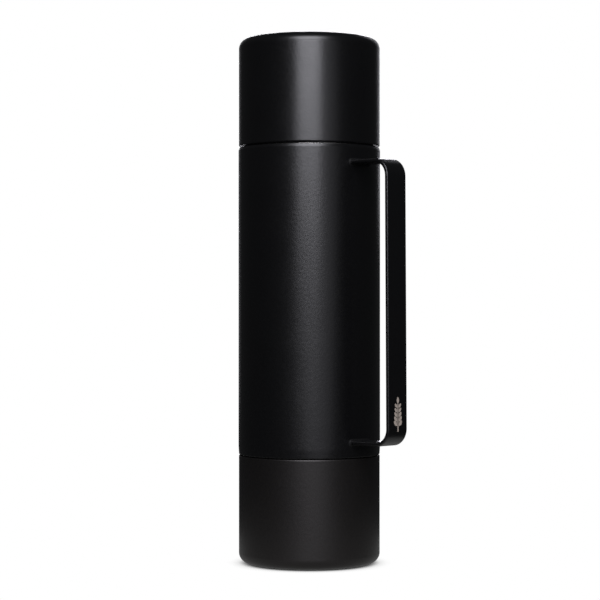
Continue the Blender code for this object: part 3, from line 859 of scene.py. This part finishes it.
def stopper_plug(looks):
    low, high, flange = span_of("stopper_plug")
    radius = PLUG_RADIUS
    under = span_of("stopper_gasket")[1] + GAP
    groove = low + PLUG_GROOVE_DEPTH
    floor = groove + PLUG_WALL
    inner_edge, inner_foot, outer_foot, outer_edge = (radius - step for step in PLUG_GROOVE)
    outline = rounded(
        [
            (0, low, 0),
            (inner_edge, low, 1.0),
            (inner_foot, groove, 0.6),
            (outer_foot, groove, 0.6),
            (outer_edge, low, 0.5),
            (radius, low, 1.6),
            (radius, under, 0.4),
            (flange, under, 0.3),
            (flange, high, 0.3),
            (radius - PLUG_WALL, high, 0.3),
            (radius - PLUG_WALL, floor, 0.6),
            (0, floor, 0),
        ],
        closed=False,
    )
    lip = low + PLUG_DEPTH
    outline = split(outline, low, lip - PLUG_THREAD_TOP, closed=False)
    ridge = thread(STOPPER_STARTS, STOPPER_LEAD, lip + PLUG_START, 0.0, PLUG_SPAN, PLUG_RIDGE)
    plug_wall = radius - 0.1

    def bump(angle, r, z):
        return np.where((r > plug_wall) & (z < under), ridge(angle, r, z), 0.0)

    plug = turned("stopper_threaded_plug", outline, closed=False, bump=bump)
    show(plug, looks["plastic"], "stopper", ["stopper_plug"])
    return floor


def stopper_foam(floor, looks):
    _, high, radius = span_of("stopper_foam")
    low = floor + GAP
    outline = rounded([(0, low, 0), (radius, low, 0.8), (radius, high, 0.8), (0, high, 0)], closed=False)
    core = turned("stopper_foam_core", outline, SMALL_TURN, closed=False)
    show(core, looks["foam"], "stopper", ["stopper_foam"])


def stopper_cap(looks):
    low, high = (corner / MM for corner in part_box("stopper_cap"))
    radius, low, high = high.x, low.z, high.z
    bore = span_of("stopper_plug")[2] + GAP
    ceiling = span_of("stopper_foam")[1] + GAP
    across, down = CAP_INNER_BEVEL
    dish, boss = high - CAP_DISH_DEPTH, high - BOSS_DROP
    outline = rounded(
        [
            (0, ceiling, 0),
            (bore - across, ceiling, 0.3),
            (bore, ceiling - down, 0.3),
            (bore, low, 0.2),
            (radius, low, 0.4),
            (radius, high, CAP_CORNER),
            (radius - CAP_RIM, high, 1.0),
            (radius - CAP_DISH_EDGE, dish, 0.6),
            (BOSS_FOOT_RADIUS, dish, 0.6),
            (BOSS_RADIUS, boss, 0.6),
            (0, boss, 0),
        ],
        closed=False,
        step=10,
    )

    def grips(angle, r, z):
        """Scallops round the skirt, sharper between the fingers than in them."""
        fade = smooth_step((r - radius + GRIP_REACH) / GRIP_FADE)
        wave = (0.5 - 0.5 * np.cos(GRIPS * angle)) ** GRIP_SHARPNESS
        return -GRIP_DEPTH * fade * wave

    cap = turned("stopper_grip_cap", outline, closed=False, bump=grips)
    show(cap, looks["plastic"], "stopper", ["stopper_cap"])


def make_stopper(looks):
    floor = stopper_plug(looks)
    span = span_of("stopper_gasket")
    gasket("stopper_seal_ring", "stopper_gasket", span, STOPPER_GASKET_BORE, looks)
    stopper_foam(floor, looks)
    stopper_cap(looks)


# ---------------------------------------------------------------- the handle

STRAP_WIDTH = 17.4
STRAP_THICKNESS = 2.5
STRAP_EDGE_RADIUS = 0.95
STRAP_STRIPS = 12  # across the strap's face
STRAP_BEND = 8.7  # inside radius
STRAP_LEAN = 1.2  # how much further out the strap is at its foot than at its head
WELD_LEG = 1.2
WELD_STEPS = 6

# The etched mark, an ear of barley: its size and place, its stem, and its grains as (length, width).
MARK_LENGTH = 21.5
MARK_WIDTH = 8.2
MARK_CENTRE = 99.5
MARK_THICKNESS = 0.05
MARK_SINK = 0.03  # how deep its plates go into the strap
STEM_HALF_WIDTH = 0.45
STEM_TAPER = 0.8
STEM_END = 4.2  # below the tip
BARLEY_PAIRS = 5
FIRST_PAIR = 5.2  # above the foot
PAIR_STEP = 2.75
PAIR_SHRINK = 0.06
PAIR_INSET = 1.85
BARLEY_LEAN = 0.62  # radians
SIDE_GRAIN = (4.1, 2.3)
TIP_GRAIN = (4.2, 2.2)
TIP_DROP = 2.0
BARLEY_POINTS = 14
BARLEY_TAPER = 1.5


def strap_section(grow=0.0):
    """Points round the strap's cross-section, as (across the width, out of the face)."""
    across = STRAP_WIDTH / 2 + grow
    out = STRAP_THICKNESS / 2 + grow
    radius = STRAP_EDGE_RADIUS + grow
    face = [((across - radius) * (1 - 2 * k / STRAP_STRIPS), out, 0) for k in range(1, STRAP_STRIPS)]
    back = [(-y, -out, 0) for y, _, _ in face]
    corners = [(across, out, radius), *face, (-across, out, radius)]
    corners += [(-across, -out, radius), *back, (across, -out, radius)]
    return rounded(corners, step=15)


class Strap:
    """The run of the strap's middle line, which goes out from the body, down the grip and back in."""

    def __init__(self):
        low, high = (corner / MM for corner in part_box("handle_strap"))
        half = STRAP_THICKNESS / 2
        self.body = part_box("bottle_outer_shell")[1].y / MM
        self.top, self.bottom = high.z - half, low.z + half
        self.reach_low = high.x - half
        self.reach_high = self.reach_low - STRAP_LEAN

    def path(self):
        bend = STRAP_BEND + STRAP_THICKNESS / 2
        corners = [(self.body, self.top, 0), (self.reach_high, self.top, bend)]
        corners += [(self.reach_low, self.bottom, bend), (self.body, self.bottom, 0)]
        return rounded(corners, closed=False, step=5)

    def on_body(self, y, lift=0.0):
        """How far out the body's wall is, at a distance across the strap."""
        return math.sqrt(self.body * self.body - y * y) + lift

    def on_face(self, y, z, lift):
        """A point on the grip's outer face."""
        slope = (self.reach_high - self.reach_low) / (self.top - self.bottom)
        return (self.reach_low + STRAP_THICKNESS / 2 + slope * (z - self.bottom) + lift, y, z)


def coated_strap(strap, looks):
    path = strap.path()
    rings = []
    for k, (x, z) in enumerate(path):
        before, after = Vector(path[max(k - 1, 0)]), Vector(path[min(k + 1, len(path) - 1)])
        along = (after - before).normalized()
        out = Vector((-along.y, along.x))
        if k in (0, len(path) - 1):  # the strap's ends follow the body's wall
            rings.append([(strap.on_body(y), y, z + out.y * s) for y, s in strap_section()])
        else:
            rings.append([(x + out.x * s, y, z + out.y * s) for y, s in strap_section()])
    mesh = lofted("handle_coated_strap", rings, loop=False)
    show(mesh, looks["handle"], "bottle", ["handle_strap"])


def weld_fillet(node, height, strap, looks):
    """The bead of weld round the foot of one of the strap's arms, hollow between the body and the strap."""
    rings = []
    for (y_in, z_in), (y_out, z_out) in zip(strap_section(), strap_section(WELD_LEG)):
        ring = [(strap.on_body(y, -GAP), y, height + z) for y, z in ((y_in, z_in), (y_out, z_out))]
        for k in range(WELD_STEPS + 1):
            turn = math.pi / 2 * k / WELD_STEPS
            share = 1 - math.sin(turn)
            y = y_in + (y_out - y_in) * share
            lift = WELD_LEG * (1 - math.cos(turn))
            ring.append((strap.on_body(y, lift), y, height + z_in + (z_out - z_in) * share))
        rings.append(ring)
    mesh = lofted(node.replace("weld", "weld_fillet"), rings, loop=True)
    show(mesh, looks["weld"], "bottle", [node])


def add_plate(bm, rim, place):
    """A thin closed plate with this rim, which place() lays on the strap."""
    lifts = (-MARK_SINK, MARK_THICKNESS)
    under, over = ([bm.verts.new(place(y, z, lift)) for y, z in rim] for lift in lifts)
    bm.faces.new(over)
    bm.faces.new(list(reversed(under)))
    for k in range(len(rim)):
        m = (k + 1) % len(rim)
        bm.faces.new((under[k], under[m], over[m], over[k]))


def add_grain(bm, centre, size, angle, place):
    """One lens-shaped grain of the etched ear of barley."""
    length, width = size
    rim = []
    for k in range(BARLEY_POINTS):
        t = 2 * math.pi * k / BARLEY_POINTS
        bulge = math.copysign(abs(math.sin(t)) ** BARLEY_TAPER, math.sin(t))
        point = Vector((math.cos(t) * length / 2, bulge * width / 2))
        point.rotate(Matrix.Rotation(angle, 2))
        rim.append((centre[0] + point.x, centre[1] + point.y))
    add_plate(bm, rim, place)


def etched_mark(strap, looks):
    """An etched ear of barley near the foot of the grip: a stem with pairs of grains, and one at its tip."""
    bm = bmesh.new()
    foot = MARK_CENTRE - MARK_LENGTH / 2
    tip = MARK_CENTRE + MARK_LENGTH / 2
    wide, narrow = STEM_HALF_WIDTH, STEM_HALF_WIDTH * STEM_TAPER
    end = tip - STEM_END
    add_plate(bm, [(-wide, foot), (wide, foot), (narrow, end), (-narrow, end)], strap.on_face)
    for k in range(BARLEY_PAIRS):
        z = foot + FIRST_PAIR + k * PAIR_STEP
        size = 1.0 - PAIR_SHRINK * k
        grain = tuple(length * size for length in SIDE_GRAIN)
        for side in (-1, 1):
            centre = (side * (MARK_WIDTH / 2 - PAIR_INSET) * size, z)
            add_grain(bm, centre, grain, math.pi / 2 - side * BARLEY_LEAN, strap.on_face)
    add_grain(bm, (0, tip - TIP_DROP), TIP_GRAIN, math.pi / 2, strap.on_face)
    show(finished(bm, "handle_etched_barley"), looks["etched"], "bottle", [])


def make_handle(looks):
    strap = Strap()
    coated_strap(strap, looks)
    weld_fillet("handle_upper_weld", strap.top, strap, looks)
    weld_fillet("handle_lower_weld", strap.bottom, strap, looks)
    etched_mark(strap, looks)


# ---------------------------------------------------------------- stage

# Lengths on the stage are in metres. The fills say how brightly the floor and the studio light the vessel.
FLOOR_RADIUS = 0.16
FLOOR_STEPS = 96
FLOOR_SHADE_REACH = 0.03
FLOOR_CLEAR = 0.68  # how open the floor is where its shade ends
FLOOR_FILL = 0.38
STUDIO_FILL = 0.034
STUDIO_COLOUR = (0.93, 0.96, 1.0)
LIGHT_COLOUR = (0.93, 0.925, 1.0)
LIGHT_AIM = (0, 0, 0.17)

# The camera stands level with the middle of the vessel, a long way off.
CAMERA_AZIMUTH = 45.0
CAMERA_DISTANCE = 1.3
CAMERA_HEIGHT = 0.172
CAMERA_SENSOR = 36.0
CAMERA_LENS = 119.85
CAMERA_SHIFT = (-0.0155, -0.0033)
CAMERA_NEAR = 0.05


def aim(thing, place, target):
    """Puts a light or the camera in its place, turned towards the target."""
    thing.location = place
    thing.rotation_mode = "QUATERNION"
    thing.rotation_quaternion = (Vector(target) - Vector(place)).to_track_quat("-Z", "Y")


def place_round(azimuth, distance, height):
    """A place round the vessel. Its azimuth is counted from the camera's, to the right, in degrees."""
    a = math.radians(CAMERA_AZIMUTH + azimuth)
    return Vector((distance * math.sin(a), -distance * math.cos(a), height))


def area_light(name, place, size, power, roll=0.0):
    """A soft box that faces the middle of the vessel. Its power is in watts, and its roll in degrees."""
    light = bpy.data.lights.new(name, "AREA")
    light.shape = "RECTANGLE"
    light.size, light.size_y = size
    light.energy = power
    light.color = LIGHT_COLOUR
    thing = bpy.data.objects.new(name, light)
    bpy.context.scene.collection.objects.link(thing)
    aim(thing, place, LIGHT_AIM)
    thing.rotation_quaternion @= Quaternion((0, 0, 1), math.radians(roll))


def switched(tree, seen, lit):
    """A surface of one shader where the camera looks at it, and of another where it lights the vessel."""
    path = tree.nodes.new("ShaderNodeLightPath")
    mix = tree.nodes.new("ShaderNodeMixShader")
    tree.links.new(path.outputs["Is Camera Ray"], mix.inputs["Fac"])
    tree.links.new(lit.outputs[0], mix.inputs[1])
    tree.links.new(seen.outputs[0], mix.inputs[2])
    return mix.outputs["Shader"]


def make_floor():
    """A pale round table, lit from within. All that tells it from the white studio behind it is painted shade
    close to whatever stands on it, taken from ambient occlusion rather than cast by the lamps, so elsewhere
    the camera looks through it."""
    bm = bmesh.new()
    bmesh.ops.create_circle(bm, cap_ends=True, segments=FLOOR_STEPS, radius=FLOOR_RADIUS)
    mesh = bpy.data.meshes.new("floor")
    bm.to_mesh(mesh)
    bm.free()
    floor = bpy.data.objects.new("floor", mesh)
    bpy.context.scene.collection.objects.link(floor)
    pale = bpy.data.materials.new("pale_floor")
    pale.use_nodes = True
    tree = pale.node_tree
    tree.nodes.clear()
    # painted shadow: the floor darkens where ambient occlusion finds the vessel near, not where a lamp's
    # light is blocked
    openness = tree.nodes.new("ShaderNodeAmbientOcclusion")
    openness.inputs["Distance"].default_value = FLOOR_SHADE_REACH
    clear = tree.nodes.new("ShaderNodeMapRange")
    clear.inputs["From Max"].default_value = FLOOR_CLEAR
    tree.links.new(openness.outputs["AO"], clear.inputs["Value"])
    seen = tree.nodes.new("ShaderNodeBsdfTransparent")
    tree.links.new(clear.outputs["Result"], seen.inputs["Color"])
    lit = tree.nodes.new("ShaderNodeEmission")
    lit.inputs["Strength"].default_value = FLOOR_FILL
    out = tree.nodes.new("ShaderNodeOutputMaterial")
    tree.links.new(switched(tree, seen, lit), out.inputs["Surface"])
    mesh.materials.append(pale)


def make_world():
    """A white studio to look at, which lights the vessel far less than its soft boxes do."""
    world = bpy.data.worlds.new("studio")
    bpy.context.scene.world = world
    world.use_nodes = True
    tree = world.node_tree
    tree.nodes.clear()
    seen = tree.nodes.new("ShaderNodeBackground")
    seen.inputs["Color"].default_value = (1, 1, 1, 1)
    lit = tree.nodes.new("ShaderNodeBackground")
    lit.inputs["Color"].default_value = (*STUDIO_COLOUR, 1)
    lit.inputs["Strength"].default_value = STUDIO_FILL
    out = tree.nodes.new("ShaderNodeOutputWorld")
    tree.links.new(switched(tree, seen, lit), out.inputs["Surface"])


def make_lights():
    area_light("key", place_round(-1, 1.6, 0.63), size=(1.04, 0.41), power=12.2)
    area_light("upper", place_round(-1, 1.15, 1.28), size=(1.0, 0.90), power=23)
    area_light("fill", place_round(19, 1.6, 0.20), size=(1.04, 1.50), power=2.1, roll=-38)
    area_light("right_rim", place_round(158, 1.5, 0.75), size=(0.25, 1.0), power=0.75)
    area_light("left_rim", place_round(-160, 1.5, 0.5), size=(0.20, 1.0), power=0.2)
    area_light("back", place_round(180, 1.6, 0.6), size=(0.40, 0.70), power=9)


def make_camera():
    camera = bpy.data.cameras.new("camera")
    camera.sensor_width = CAMERA_SENSOR
    camera.lens = CAMERA_LENS
    camera.shift_x, camera.shift_y = CAMERA_SHIFT
    camera.clip_start = CAMERA_NEAR
    thing = bpy.data.objects.new("camera", camera)
    bpy.context.scene.collection.objects.link(thing)
    aim(thing, place_round(0, CAMERA_DISTANCE, CAMERA_HEIGHT), (0, 0, CAMERA_HEIGHT))
    bpy.context.scene.camera = thing


# ---------------------------------------------------------------- everything together


def main():
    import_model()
    bpy.context.scene.view_settings.view_transform = "Standard"
    top, bottom = End("top", "neck_thread_ring"), End("bottom", "base_thread_ring")
    looks = make_looks()
    make_bottle(top, bottom, looks)
    for end in (top, bottom):
        make_end(end, looks)
    make_stopper(looks)
    make_handle(looks)
    make_floor()
    make_world()
    make_lights()
    make_camera()


main()
